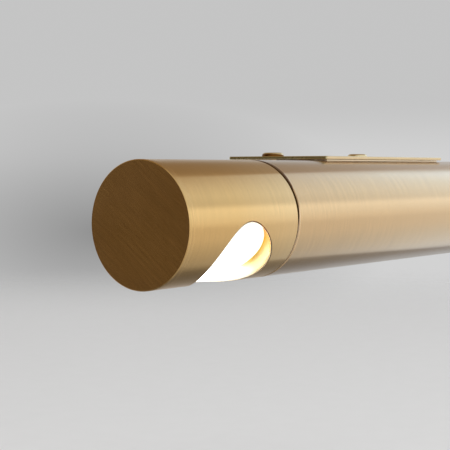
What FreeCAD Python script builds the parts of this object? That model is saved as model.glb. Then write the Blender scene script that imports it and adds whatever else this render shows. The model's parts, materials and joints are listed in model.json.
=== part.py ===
import FreeCAD, Part
import math
import os
import re
import Sketcher

# A brushed brass tube light for a wall. The tube hangs from a thin plate over a wall bracket.
# Each end section turns on a hollow pivot and throws its light through a round side hole.
# Frame: origin on the wall plane behind the middle of the tube, +X along the tube,
# +Y into the wall, +Z up. Lengths are in millimetres and angles in degrees.

# Driving sizes. Every other size follows from these.
DRIVING = {
    # the round body
    "tube_radius": 25,
    "tube_wall": 1.5,
    "main_length": 215,
    "axis_distance": 52,
    # clearances shared by pieces that seat, turn or screw into each other
    "fit_gap": 0.1,
    "running_gap": 0.05,
    "thread_gap": 0.05,
    "free_gap": 0.3,
    "wall_gap": 0.5,
    "overrun": 5,
    "edge_break": 0.3,
    # end section
    "seam_gap": 1.5,
    "head_length": 70,
    "shell_wall": 2,
    "disc_thickness": 3,
    "spigot_length": 4,
    "hub_thickness": 5,
    "aim_angle": 49,
    "turn_angle": 165,
    # light well and lens
    "hole_radius": 19.5,
    "hole_offset": 38,
    "well_wall": 1.5,
    "ledge_width": 2,
    "lens_recess": 6.5,
    "lens_thickness": 7.3,
    "lens_curve": 45,
    # light source
    "sink_height": 3.4,
    "fin_slot_width": 3,
    "fin_pitch": 8,
    "fin_slot_depth": 14,
    "board_radius": 16.5,
    "board_thickness": 1.6,
    "board_screw_circle": 14,
    "board_screw_radius": 1,
    "board_head_radius": 2,
    "board_head_height": 1,
    "board_screw_length": 5,
    "chip_radius": 7.5,
    "chip_height": 0.8,
    "reflector_mouth": 8.5,
    "reflector_wall": 0.8,
    # pivot between the tube and an end section
    "plug_length": 14,
    "nipple_radius": 5,
    "nipple_bore": 3.2,
    "nipple_end": 0.5,
    "nut_flats": 14,
    "nut_height": 3,
    "spring_height": 0.8,
    "spring_sheet": 0.5,
    "spring_radius": 7.9,
    "washer_radius": 13,
    "stop_radius": 1.5,
    "stop_circle": 17,
    "stop_reach": 3.5,
    "groove_depth": 4,
    # set screws of an end section
    "grub_radius": 1.5,
    "grub_length": 5,
    "grub_sink": 0.2,
    "grub_key": 1.5,
    "grub_angle": 25,
    # leads
    "lead_radius": 2,
    "lead_reach": 5.5,
    "supply_bend": 9,
    "supply_run": 3,
    "supply_depth": 12,
    # top plate, the strip that bears it on the tube, and its screws
    "plate_length": 113,
    "plate_front": 5.2,
    "plate_thickness": 1.5,
    "plate_corner": 1,
    "strip_length": 108,
    "strip_width": 7,
    "strip_height": 0.5,
    "screw_spacing": 79.5,
    "screw_wall_distance": 15,
    "screw_radius": 2.5,
    "screw_head_radius": 5.4,
    "screw_head_height": 2,
    "screw_head_chamfer": 0.4,
    "screw_key": 3,
    "screw_key_depth": 1.2,
    "tube_screw_spacing": 60,
    "tube_screw_radius": 2,
    "tube_screw_head": 3.6,
    "tube_screw_key": 2,
    "tube_screw_length": 12,
    # saddle bar and driver inside the tube
    "saddle_length": 140,
    "saddle_width": 20,
    "saddle_floor": 12,
    "driver_length": 120,
    "driver_width": 30,
    "driver_height": 20,
    "driver_chamfer": 2,
    "ear_length": 8,
    "ear_width": 12,
    "ear_thickness": 2,
    "driver_screw_radius": 1.5,
    "driver_screw_reach": 7,
    "driver_head_radius": 2.8,
    "driver_head_height": 2,
    # wall bracket
    "bracket_width": 100,
    "bracket_height": 40,
    "bracket_sheet": 2,
    "tab_width": 18,
    "tab_depth": 23,
    "slot_spacing": 80,
    "slot_length": 10,
    "slot_width": 5,
    "cable_hole_radius": 7,
    "cable_hole_margin": 2,
    "clinch_radius": 4.5,
    "clinch_height": 4,
    "grommet_bore": 4.5,
    "grommet_flange": 2,
    "grommet_thickness": 1.5,
    # back cover
    "cover_length": 108,
    "cover_sheet": 1.2,
    "cover_drop": 24,
    "cover_corner": 2,
    # terminal block and earth screw
    "terminal_length": 20,
    "terminal_height": 16,
    "terminal_depth": 13,
    "terminal_screw_radius": 1.8,
    "terminal_screw_height": 1.5,
    "terminal_bore": 1.5,
    "terminal_step": 2.5,
    "earth_offset": 24,
    "earth_radius": 2,
    "earth_head_radius": 3.5,
    "earth_head_height": 2.2,
    "earth_washer_radius": 4.5,
    "earth_washer_height": 0.8,
}

# Sizes that follow from the driving ones
DERIVED = {
    "tube_bore": "tube_radius - tube_wall",
    "half_main": "main_length / 2",
    "strip_top": "tube_radius + strip_height",
    "plate_under": "strip_top + fit_gap",
    "shell_bore": "tube_radius - shell_wall",
    "inner_radius": "shell_bore - fit_gap",
    "hole_place": "head_length - hole_offset",
    "lens_crown": "tube_radius - lens_recess",
    "lens_base": "lens_crown - lens_thickness",
    "board_top": "sink_height + board_thickness",
    "well_radius": "hole_radius + well_wall",
    "ledge_radius": "hole_radius - ledge_width",
    "sink_start": "hole_place - well_radius",
    "nut_corner": "nut_flats / sqrt(3)",
    "nipple_hole": "nipple_radius + running_gap",
    "nipple_inner": "seam_gap + plug_length + nut_height + nipple_end",
    "nipple_outer": "hub_thickness + spring_height + nut_height + nipple_end",
    "groove_angle": "2 * (turn_angle + (stop_radius + free_gap) / stop_circle * 180 / pi)",
    "cover_front": "axis_distance - tube_radius - free_gap",
    "rear_seat": "sqrt(tube_bore ^ 2 - nut_corner ^ 2) - fit_gap",
    "terminal_start": "supply_bend + supply_run",
    "half_screws": "screw_spacing / 2",
    "half_tube_screws": "tube_screw_spacing / 2",
    "half_slots": "slot_spacing / 2",
    "half_bracket": "bracket_height / 2",
    "cable_hole_drop": "half_bracket - cable_hole_radius - cable_hole_margin",
    "ear_hole_place": "(driver_length + ear_length) / 2",
}

# Turns of a piece that is drawn along +Z
UPRIGHT = "rotation(vector(0; 0; 1); 0)"
ALONG_X = "rotation(vector(0; 1; 0); 90)"
ALONG_Y = "rotation(vector(1; 0; 0); -90)"
OUT_OF_WALL = "rotation(vector(1; 0; 0); 90)"
MIDDLE = ("0", "0", "0")
TUBE_AXIS = ("0", "-axis_distance", "0")
STRAIGHT_SHARE = 1e-6

# An end's own frame: origin on the tube axis at the seam, +X outwards, +Z along the light
AIM = "rotation(vector(1; 0; 0); 90 + aim_angle)"
HALF_TURN = "rotation(vector(0; 0; 1); 180)"
END_PLACES = {
    "left": "placement(vector(-half_main - seam_gap; -axis_distance; 0); " + AIM + " * " + HALF_TURN + ")",
    "right": "placement(vector(half_main + seam_gap; -axis_distance; 0); " + AIM + ")",
}

document = FreeCAD.newDocument("led_wall_light")
nodes = []


def make_sheet():
    """Writes every size into one spreadsheet, each under its own alias."""
    sheet = document.addObject("Spreadsheet::Sheet", "sizes")
    cells = {name: str(value) for name, value in DRIVING.items()}
    cells.update({name: "=" + text for name, text in DERIVED.items()})
    for row, (name, content) in enumerate(cells.items(), 1):
        sheet.set("A" + str(row), name)
        sheet.setAlias("B" + str(row), name)
        sheet.set("B" + str(row), content)
    document.recompute()


def formula(text):
    """Turns a sum of size names into an expression on the sheet."""
    def link(word):
        name = word.group()
        return "sizes." + name if name in DRIVING or name in DERIVED else name
    return re.sub(r"[a-z_]+", link, text)


def bind(piece, **texts):
    """Ties properties of a piece to sums of size names."""
    for name, text in texts.items():
        piece.setExpression(name, formula(text))


def spot(place, turn=UPRIGHT):
    """Gives the expression of a placement at three sums of size names."""
    return "placement(vector(" + "; ".join(place) + "); " + turn + ")"


def put(piece, place, turn=UPRIGHT):
    """Puts a piece at a place, turned as named."""
    bind(piece, Placement=spot(place, turn))
    return piece


def finish(piece, name):
    """Names a finished sub-part and keeps it for the export."""
    piece.Label = name
    nodes.append(piece)
    return piece


def box(name, size, corner):
    """Draws a box from its three sizes and its lowest corner."""
    piece = document.addObject("Part::Box", name)
    length, width, height = size
    bind(piece, Length=length, Width=width, Height=height)
    return put(piece, corner)


def rod(name, radius, length, start, turn=UPRIGHT, angle="360"):
    """Draws a cylinder from the middle of its first face."""
    piece = document.addObject("Part::Cylinder", name)
    bind(piece, Radius=radius, Height=length, Angle=angle)
    return put(piece, start, turn)


def cone(name, low_radius, high_radius, length, start, turn=UPRIGHT):
    """Draws a cone from the middle of its first face."""
    piece = document.addObject("Part::Cone", name)
    bind(piece, Radius1=low_radius, Radius2=high_radius, Height=length)
    return put(piece, start, turn)


def hexagon(name, flats, length, start, turn=UPRIGHT):
    """Draws a six-sided bar from its width across flats."""
    piece = document.addObject("Part::Prism", name)
    piece.Polygon = 6
    bind(piece, Circumradius=flats + " / sqrt(3)", Height=length)
    return put(piece, start, turn)


def cut(name, base, *tools):
    """Takes each tool out of the base in turn."""
    for count, tool in enumerate(tools, 1):
        piece = document.addObject("Part::Cut", name + "_cut" + str(count))
        piece.Base = base
        piece.Tool = tool
        base = piece
    return base


def join(name, *pieces):
    """Fuses pieces into one solid."""
    piece = document.addObject("Part::MultiFuse", name + "_join")
    piece.Shapes = list(pieces)
    return piece


def common(name, *pieces):
    """Keeps what all the pieces share."""
    piece = document.addObject("Part::MultiCommon", name + "_common")
    piece.Shapes = list(pieces)
    return piece


def group(name, pieces):
    """Keeps like pieces as separate solids of one sub-part."""
    piece = document.addObject("Part::Compound", name + "_group")
    piece.Links = list(pieces)
    return piece


def new_body(name):
    return document.addObject("PartDesign::Body", name + "_body")


def new_sketch(body, name, plane):
    """Starts a sketch on one of the body's origin planes."""
    sketch = body.newObject("Sketcher::SketchObject", name)
    planes = {feature.Role: feature for feature in body.Origin.OriginFeatures}
    sketch.AttachmentSupport = [(planes[plane], "")]
    sketch.MapMode = "FlatFace"
    return sketch


def hold(sketch, kind, item, point, text):
    """Holds a point at a distance from the sketch's origin."""
    row = sketch.addConstraint(Sketcher.Constraint(kind, -1, 1, item, point, 1))
    sketch.setExpression("Constraints[" + str(row) + "]", formula(text))


def add_polygon(sketch, corners):
    """Draws a closed outline through corners that are sums of size names."""
    first = sketch.GeometryCount
    count = len(corners)
    turns = [2 * math.pi * index / count for index in range(count)]
    starts = [FreeCAD.Vector(math.cos(turn), math.sin(turn), 0) for turn in turns]
    for index in range(count):
        sketch.addGeometry(Part.LineSegment(starts[index], starts[(index + 1) % count]))
    for index, (across, up) in enumerate(corners):
        after = first + (index + 1) % count
        sketch.addConstraint(Sketcher.Constraint("Coincident", first + index, 2, after, 1))
        hold(sketch, "DistanceX", first + index, 1, across)
        hold(sketch, "DistanceY", first + index, 1, up)


def add_circle(sketch, across, up, radius):
    """Draws a circle whose middle and radius are sums of size names."""
    item = sketch.addGeometry(Part.Circle(FreeCAD.Vector(), FreeCAD.Vector(0, 0, 1), 1))
    hold(sketch, "DistanceX", item, 3, across)
    hold(sketch, "DistanceY", item, 3, up)
    row = sketch.addConstraint(Sketcher.Constraint("Radius", item, 1))
    sketch.setExpression("Constraints[" + str(row) + "]", formula(radius))


def rectangle(left, low, right, high):
    """Gives the four corners of a rectangle."""
    return [(left, low), (right, low), (right, high), (left, high)]


def pad(body, sketch, length, side="One side", backwards=False):
    """Raises a sketch into a solid."""
    feature = body.newObject("PartDesign::Pad", sketch.Name + "_pad")
    feature.Profile = sketch
    bind(feature, Length=length)
    feature.SideType = side
    feature.Reversed = backwards
    document.recompute()


def pocket(body, sketch, backwards=False):
    """Cuts a sketch right through one side of the solid, and checks that it cut."""
    before = body.Shape.Volume
    feature = body.newObject("PartDesign::Pocket", sketch.Name + "_pocket")
    feature.Profile = sketch
    feature.Type = "ThroughAll"
    feature.Reversed = backwards
    document.recompute()
    if body.Shape.Volume >= before:
        raise RuntimeError(sketch.Name + " cuts nothing")


def turned(name, corners, axis="V_Axis"):
    """Turns an outline about the sketch's upright axis, or about its level one."""
    body = new_body(name)
    sketch = new_sketch(body, name + "_profile", "XZ_Plane")
    add_polygon(sketch, corners)
    feature = body.newObject("PartDesign::Revolution", name + "_turn")
    feature.Profile = sketch
    feature.ReferenceAxis = (sketch, [axis])
    feature.Angle = 360
    return body


def ring(name, bore, radius, start, end, axis="H_Axis"):
    """Turns a plain ring that runs from start to end along its axis."""
    corners = rectangle(start, bore, end, radius)
    if axis == "V_Axis":
        corners = rectangle(bore, start, radius, end)
    return turned(name, corners, axis)


def dress(body, kind, chosen, **sizes):
    """Adds a fillet or a chamfer to the edges of the body that the test picks."""
    base = body.Tip
    edges = enumerate(base.Shape.Edges, 1)
    names = ["Edge" + str(number) for number, edge in edges if chosen(edge)]
    feature = body.newObject("PartDesign::" + kind, body.Name + "_" + kind.lower())
    feature.Base = (base, names)
    bind(feature, **sizes)
    document.recompute()


def is_upright(edge):
    """Tells whether an edge is a straight line along Z."""
    first, last = edge.Vertexes[0].Point, edge.Vertexes[-1].Point
    return (last - first).cross(FreeCAD.Vector(0, 0, 1)).Length < edge.Length * STRAIGHT_SHARE


def is_level(edge):
    """Tells whether an edge runs round a level face."""
    return not is_upright(edge)


def is_outer_circle(edge):
    """Tells whether an edge is a circle as wide as the tube."""
    return edge.Curve.TypeId == "Part::GeomCircle" and round(edge.Curve.Radius - DRIVING["tube_radius"], 3) == 0


def make_main_tube():
    """Brass tube with two holes in its crest and one in its back."""
    body = new_body("main_tube")
    walls = new_sketch(body, "tube_walls", "YZ_Plane")
    add_circle(walls, "0", "0", "tube_radius")
    add_circle(walls, "0", "0", "tube_bore")
    pad(body, walls, "main_length", side="Symmetric")
    dress(body, "Chamfer", is_outer_circle, Size="edge_break")
    crest = new_sketch(body, "crest_holes", "XY_Plane")
    for sign in ("-", ""):
        add_circle(crest, sign + "half_tube_screws", "0", "tube_screw_radius + thread_gap")
    pocket(body, crest, backwards=True)
    back = new_sketch(body, "back_hole", "XZ_Plane")
    add_circle(back, "0", "0", "nipple_hole")
    pocket(body, back)
    finish(put(body, TUBE_AXIS), "main_tube")


def make_top_plate():
    """Thin plate that lies along the tube's crest, on a strip, and carries it."""
    body = new_body("top_plate")
    outline = new_sketch(body, "plate_outline", "XY_Plane")
    front = "-axis_distance - plate_front"
    add_polygon(outline, rectangle("-plate_length / 2", front, "plate_length / 2", "-wall_gap"))
    pad(body, outline, "plate_thickness")
    dress(body, "Fillet", is_upright, Radius="plate_corner")
    dress(body, "Chamfer", is_level, Size="edge_break")
    holes = new_sketch(body, "plate_holes", "XY_Plane")
    for sign in ("-", ""):
        add_circle(holes, sign + "half_screws", "-screw_wall_distance", "screw_radius + free_gap")
    pocket(body, holes, backwards=True)
    put(body, ("0", "0", "plate_under"))
    sinks = []
    for side, sign in (("left", "-"), ("right", "")):
        place = (sign + "half_tube_screws", "-axis_distance", "plate_under")
        narrow = "tube_screw_head - plate_thickness"
        sinks.append(cone("plate_sink_" + side, narrow, "tube_screw_head", "plate_thickness", place))
    finish(cut("top_plate", body, *sinks), "top_plate")

    name = "plate_strip"
    size = ("strip_length", "strip_width", "tube_radius")
    bar = box(name + "_bar", size, ("-strip_length / 2", "-strip_width / 2", "strip_height"))
    seat = rod(name + "_seat", "tube_radius + fit_gap", "strip_length", ("-strip_length / 2", "0", "0"), ALONG_X)
    holes = []
    for side, sign in (("left", "-"), ("right", "")):
        start = (sign + "half_tube_screws", "0", "strip_height")
        holes.append(rod(name + "_hole_" + side, "tube_screw_radius + free_gap", "tube_radius", start))
    finish(put(cut(name, bar, seat, *holes), TUBE_AXIS), name)


def make_plate_screws():
    """Low-head screws that hold the plate down on the wall bracket."""
    screws = []
    length = "plate_thickness + bracket_sheet + clinch_height"
    for side, sign in (("left", "-"), ("right", "")):
        name = "plate_screw_" + side
        shank = turned(name, [
            ("0", "-(" + length + ")"),
            ("screw_radius", "-(" + length + ")"),
            ("screw_radius", "0"),
            ("screw_head_radius", "0"),
            ("screw_head_radius", "screw_head_height - screw_head_chamfer"),
            ("screw_head_radius - screw_head_chamfer", "screw_head_height"),
            ("0", "screw_head_height"),
        ])
        floor = ("0", "0", "screw_head_height - screw_key_depth")
        socket = hexagon(name + "_socket", "screw_key", "screw_key_depth", floor)
        screw = cut(name, shank, socket)
        screws.append(put(screw, (sign + "half_screws", "-screw_wall_distance", "plate_under + plate_thickness")))
    finish(group("plate_screws", screws), "plate_screws")


def make_tube_screws():
    """Countersunk screws through the plate and the crest into the saddle bar."""
    screws = []
    for side, sign in (("left", "-"), ("right", "")):
        name = "tube_screw_" + side
        head = "tube_screw_head - fit_gap"
        shank = turned(name, [
            ("0", "-tube_screw_length"),
            ("tube_screw_radius", "-tube_screw_length"),
            ("tube_screw_radius", "tube_screw_radius - tube_screw_head + fit_gap"),
            (head, "0"),
            ("0", "0"),
        ])
        floor = ("0", "0", "-tube_screw_key / 2")
        socket = hexagon(name + "_socket", "tube_screw_key", "tube_screw_key / 2", floor)
        screw = cut(name, shank, socket)
        place = (sign + "half_tube_screws", "-axis_distance", "plate_under + plate_thickness")
        screws.append(put(screw, place))
    finish(group("tube_screws", screws), "tube_screws")


def make_saddle_bar():
    """Aluminium bar under the tube's crest, tapped for the tube and driver screws."""
    length = "tube_bore - fit_gap"
    round_bar = rod("saddle_round", length, "saddle_length", ("-saddle_length / 2", "0", "0"), ALONG_X)
    size = ("saddle_length", "saddle_width", "tube_radius")
    slab = box("saddle_slab", size, ("-saddle_length / 2", "-saddle_width / 2", "saddle_floor"))
    holes = []
    for side, sign in (("left", "-"), ("right", "")):
        start = (sign + "half_tube_screws", "0", "saddle_floor")
        bore = "tube_screw_radius + thread_gap"
        holes.append(rod("saddle_tap_" + side, bore, "tube_radius", start))
        start = (sign + "ear_hole_place", "0", "saddle_floor - overrun")
        bore = "driver_screw_radius + thread_gap"
        holes.append(rod("ear_tap_" + side, bore, "overrun + driver_screw_reach + free_gap", start))
    bar = cut("saddle_bar", common("saddle_bar", round_bar, slab), *holes)
    finish(put(bar, TUBE_AXIS), "saddle_bar")


def make_driver():
    """Driver case with an ear at each end, hung under the saddle bar."""
    body = new_body("led_driver")
    case = new_sketch(body, "driver_case", "YZ_Plane")
    side, edge = "driver_width / 2", "driver_width / 2 - driver_chamfer"
    low, high = "saddle_floor - driver_height", "saddle_floor"
    add_polygon(case, [
        ("-(" + edge + ")", low), (edge, low),
        (side, low + " + driver_chamfer"), (side, high + " - driver_chamfer"),
        (edge, high), ("-(" + edge + ")", high),
        ("-(" + side + ")", high + " - driver_chamfer"), ("-(" + side + ")", low + " + driver_chamfer"),
    ])
    pad(body, case, "driver_length", side="Symmetric")
    ears = new_sketch(body, "driver_ears", "YZ_Plane")
    add_polygon(ears, rectangle("-ear_width / 2", high + " - ear_thickness", "ear_width / 2", high))
    pad(body, ears, "driver_length + 2 * ear_length", side="Symmetric")
    holes = new_sketch(body, "ear_holes", "XY_Plane")
    for sign in ("-", ""):
        add_circle(holes, sign + "ear_hole_place", "0", "driver_screw_radius + free_gap")
    pocket(body, holes, backwards=True)
    finish(put(body, TUBE_AXIS), "led_driver")
    screws = []
    for side, sign in (("left", "-"), ("right", "")):
        screw = turned("driver_screw_" + side, [
            ("0", "-driver_head_height"),
            ("driver_head_radius", "-driver_head_height"),
            ("driver_head_radius", "0"),
            ("driver_screw_radius", "0"),
            ("driver_screw_radius", "ear_thickness + driver_screw_reach"),
            ("0", "ear_thickness + driver_screw_reach"),
        ])
        screws.append(put(screw, (sign + "ear_hole_place", "-axis_distance", "saddle_floor - ear_thickness")))
    finish(group("driver_screws", screws), "driver_screws")


def make_wall_bracket():
    """Steel sheet with two slots for wall screws and two tabs under the top plate."""
    body = new_body("wall_bracket")
    sheet = new_sketch(body, "bracket_sheet_outline", "XZ_Plane")
    edge, low, high, top = "bracket_width / 2", "-half_bracket", "half_bracket", "plate_under"
    inner, outer = "half_screws - tab_width / 2", "half_screws + tab_width / 2"
    add_polygon(sheet, [
        ("-" + edge, low), (edge, low), (edge, high), (outer, high), (outer, top), (inner, top), (inner, high),
        ("-(" + inner + ")", high), ("-(" + inner + ")", top), ("-(" + outer + ")", top),
        ("-(" + outer + ")", high), ("-" + edge, high),
    ])
    pad(body, sheet, "bracket_sheet")
    tabs = new_sketch(body, "bracket_tabs", "XZ_Plane")
    add_polygon(tabs, rectangle(inner, top + " - bracket_sheet", outer, top))
    add_polygon(tabs, rectangle("-(" + outer + ")", top + " - bracket_sheet", "-(" + inner + ")", top))
    pad(body, tabs, "tab_depth")
    holes = new_sketch(body, "bracket_round_holes", "XZ_Plane")
    add_circle(holes, "0", "-cable_hole_drop", "cable_hole_radius")
    add_circle(holes, "-earth_offset", "0", "earth_radius + thread_gap")
    reach = "(slot_length - slot_width) / 2"
    for sign in ("-", ""):
        for step in (" - ", " + "):
            add_circle(holes, sign + "half_slots" + step + reach, "0", "slot_width / 2")
    pocket(body, holes, backwards=True)
    slots = new_sketch(body, "bracket_slots", "XZ_Plane")
    for sign in ("-", ""):
        left, right = sign + "half_slots - " + reach, sign + "half_slots + " + reach
        add_polygon(slots, rectangle(left, "-slot_width / 2", right, "slot_width / 2"))
    pocket(body, slots, backwards=True)
    taps = new_sketch(body, "bracket_tab_holes", "XY_Plane")
    for sign in ("-", ""):
        add_circle(taps, sign + "half_screws", "-screw_wall_distance", "screw_radius + free_gap")
    pocket(body, taps, backwards=True)
    finish(body, "wall_bracket")


def make_clinch_nuts():
    """Round nuts pressed under the bracket's tabs."""
    nuts = []
    top = "plate_under - bracket_sheet"
    for side, sign in (("left", "-"), ("right", "")):
        name = "clinch_nut_" + side
        nut = ring(name, "screw_radius + thread_gap", "clinch_radius", top + " - clinch_height", top, "V_Axis")
        nuts.append(put(nut, (sign + "half_screws", "-screw_wall_distance", "0")))
    finish(group("clinch_nuts", nuts), "clinch_nuts")


def make_back_cover():
    """Brass tray that hides the bracket between the tube and the wall."""
    body = new_body("back_cover")
    half, low, high = "cover_length / 2", "-cover_drop", "plate_under"
    inside = "cover_length / 2 - cover_sheet"
    walls = new_sketch(body, "cover_walls", "XZ_Plane")
    add_polygon(walls, [
        ("-" + half, low), (half, low), (half, high), (inside, high),
        (inside, low + " + cover_sheet"), ("-(" + inside + ")", low + " + cover_sheet"),
        ("-(" + inside + ")", high), ("-" + half, high),
    ])
    pad(body, walls, "cover_front - wall_gap", backwards=True)
    front = new_sketch(body, "cover_front_wall", "XZ_Plane")
    add_polygon(front, rectangle("-" + half, low, half, high))
    pad(body, front, "cover_sheet", backwards=True)
    reach = DRIVING["cover_length"] / 2 - DRIVING["cover_sheet"] / 2

    def is_front_corner(edge):
        middle = edge.CenterOfMass
        return is_upright(edge) and abs(middle.x) > reach and abs(middle.y) < DRIVING["cover_sheet"] / 2

    dress(body, "Fillet", is_front_corner, Radius="cover_corner")
    holes = new_sketch(body, "cover_hole", "XZ_Plane")
    add_circle(holes, "0", "0", "nipple_hole")
    pocket(body, holes)
    finish(put(body, ("0", "-cover_front", "0")), "back_cover")


def make_rear_nipple():
    """Hollow threaded tube and two nuts that clamp the cover to the tube's back."""
    start = "-axis_distance + rear_seat - nut_height - nipple_end"
    end = "-cover_front + cover_sheet + nut_height + nipple_end"
    nipple = ring("rear_nipple", "nipple_bore", "nipple_radius", start, end, "V_Axis")
    finish(put(nipple, MIDDLE, ALONG_Y), "rear_nipple")
    nuts = []
    seats = {"inner": "-axis_distance + rear_seat - nut_height", "outer": "-cover_front + cover_sheet"}
    for name, seat in seats.items():
        nuts.append(make_nut("rear_nut_" + name, ("0", seat, "0"), ALONG_Y))
    finish(group("rear_nuts", nuts), "rear_nuts")


def make_nut(name, start, turn):
    """Thin hexagon nut for a hollow threaded tube."""
    blank = hexagon(name + "_blank", "nut_flats", "nut_height", start, turn)
    bore = rod(name + "_bore", "nipple_radius + thread_gap", "nut_height", start, turn)
    return cut(name, blank, bore)


def make_terminal_block():
    """Three-pole terminal block on the bracket, with its clamp screws."""
    low, back = "-terminal_height / 2", "-bracket_sheet"
    depth = "bracket_sheet + terminal_depth"
    size = ("terminal_length", "terminal_depth", "terminal_height")
    block = box("terminal_blank", size, ("terminal_start", back + " - terminal_depth", low))
    tools = []
    screws = []
    share_of_pole = {"first": "1 / 6", "second": "3 / 6", "third": "5 / 6"}
    for name, share in share_of_pole.items():
        middle = "terminal_start + terminal_length * " + share
        start = (middle, "-(" + depth + ") + terminal_screw_radius + terminal_step", low)
        tools.append(rod("terminal_way_" + name, "terminal_bore", "terminal_height", start))
        for level, sign in (("low", "-"), ("high", "")):
            label = "_" + name + "_" + level
            place = (middle, "-(" + depth + ")", sign + "terminal_height / 4")
            sink = "terminal_screw_radius + fit_gap"
            tools.append(rod("terminal_sink" + label, sink, "terminal_screw_height", place, ALONG_Y))
            head = rod("terminal_head" + label, "terminal_screw_radius", "terminal_screw_height", place, ALONG_Y)
            screws.append(head)
    finish(cut("terminal_block", block, *tools), "terminal_block")
    finish(group("terminal_screws", screws), "terminal_screws")


def make_earth_screw():
    """Pan-head screw and washer for the earth wire."""
    seat = "bracket_sheet"
    screw = turned("earth_screw", [
        ("0", "0"),
        ("earth_radius", "0"),
        ("earth_radius", seat),
        ("earth_washer_radius", seat),
        ("earth_washer_radius", seat + " + earth_washer_height"),
        ("earth_head_radius", seat + " + earth_washer_height"),
        ("earth_head_radius", seat + " + earth_washer_height + earth_head_height"),
        ("0", seat + " + earth_washer_height + earth_head_height"),
    ])
    finish(put(screw, ("-earth_offset", "0", "0"), OUT_OF_WALL), "earth_screw")


def make_cable_grommet():
    """Rubber bush that lines the bracket's cable hole."""
    flange = "cable_hole_radius + grommet_flange"
    sleeve = "cable_hole_radius - fit_gap"
    bush = turned("cable_grommet", [
        ("grommet_bore", "0"),
        (sleeve, "0"),
        (sleeve, "bracket_sheet"),
        (flange, "bracket_sheet"),
        (flange, "bracket_sheet + grommet_thickness"),
        ("grommet_bore", "bracket_sheet + grommet_thickness"),
    ])
    finish(put(bush, ("0", "0", "-cable_hole_drop"), OUT_OF_WALL), "cable_grommet")


def make_supply_lead():
    """Lead from the terminal block through the rear nipple to the driver."""
    run = rod("supply_run", "lead_radius", "supply_run", ("supply_bend", "-supply_depth", "0"), ALONG_X)
    bend = document.addObject("Part::Torus", "supply_bend")
    bind(bend, Radius1="supply_bend", Radius2="lead_radius", Angle3="90")
    put(bend, ("supply_bend", "-supply_depth - supply_bend", "0"), "rotation(vector(0; 0; 1); 90)")
    driver_back = "-axis_distance + driver_width / 2"
    length = "axis_distance - driver_width / 2 - supply_depth - supply_bend"
    through = rod("supply_through", "lead_radius", length, ("0", driver_back, "0"), ALONG_Y)
    finish(join("supply_lead", run, bend, through), "supply_lead")


def make_pivot(side):
    """Plug, hollow pivot, nuts, washers and lead at one end of the main tube."""
    end = END_PLACES[side]
    name = "tube_plug_" + side
    plug = ring(name, "nipple_hole", "tube_bore - fit_gap", "-seam_gap - plug_length", "-seam_gap")
    start = ("-seam_gap - groove_depth", "0", "0")
    turn = "rotation(vector(1; 0; 0); -groove_angle / 2) * " + ALONG_X
    wide, narrow = "stop_circle + stop_radius + free_gap", "stop_circle - stop_radius - free_gap"
    depth = "groove_depth + overrun"
    groove = rod(name + "_groove_wide", wide, depth, start, turn, "groove_angle")
    core = rod(name + "_groove_core", narrow, depth, start, turn, "groove_angle")
    plug = cut(name, plug, cut(name + "_groove", groove, core))
    bind(plug, Placement=end)
    finish(plug, name)

    name = "pivot_nipple_" + side
    nipple = ring(name, "nipple_bore", "nipple_radius", "-nipple_inner", "nipple_outer")
    bind(nipple, Placement=end)
    finish(nipple, name)

    name = "pivot_nuts_" + side
    seats = {
        "inner": "-seam_gap - plug_length - nut_height",
        "outer": "hub_thickness + spring_height",
    }
    nuts = [make_nut(name + "_" + key, (seat, "0", "0"), ALONG_X) for key, seat in seats.items()]
    nuts = group(name, nuts)
    bind(nuts, Placement=end)
    finish(nuts, name)

    name = "friction_washer_" + side
    washer = ring(name, "nipple_radius + fit_gap", "washer_radius", "-seam_gap", "0")
    bind(washer, Placement=end)
    finish(washer, name)

    name = "disc_spring_" + side
    low, high = "hub_thickness", "hub_thickness + spring_height"
    spring = turned(name, [
        (low, "nipple_radius + fit_gap"),
        (low + " + spring_sheet", "nipple_radius + fit_gap"),
        (high, "spring_radius"),
        (high + " - spring_sheet", "spring_radius"),
    ], "H_Axis")
    bind(spring, Placement=end)
    finish(spring, name)

    name = "head_lead_" + side
    inner = "half_main + seam_gap - driver_length / 2"
    length = inner + " + sink_start + lead_reach"
    lead = rod(name, "lead_radius", length, MIDDLE)
    bind(lead, Placement=end + " * " + spot(("-(" + inner + ")", "0", "0"), ALONG_X))
    finish(lead, name)


def grub_spot(place, angle):
    """Gives the placement of a set screw that points out of the shell, away from the light."""
    turn = "rotation(vector(1; 0; 0); 180 + " + angle + ")"
    inner_end = "tube_radius - grub_sink - grub_length"
    return spot((place, "0", "0"), turn) + " * " + spot(("0", "0", inner_end))


GRUB_SPOTS = {
    "hub_low": ("hub_thickness / 2", "-grub_angle"),
    "hub_high": ("hub_thickness / 2", "grub_angle"),
    "sink": ("hole_place", "0"),
}


def grub_tools(name, keys):
    """Draws the tapped holes of the named set screws."""
    tools = []
    for key in keys:
        place, angle = GRUB_SPOTS[key]
        tool = rod(name + "_tap_" + key, "grub_radius + thread_gap", "grub_length + overrun", MIDDLE)
        bind(tool, Placement=grub_spot(place, angle))
        tools.append(tool)
    return tools


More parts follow.
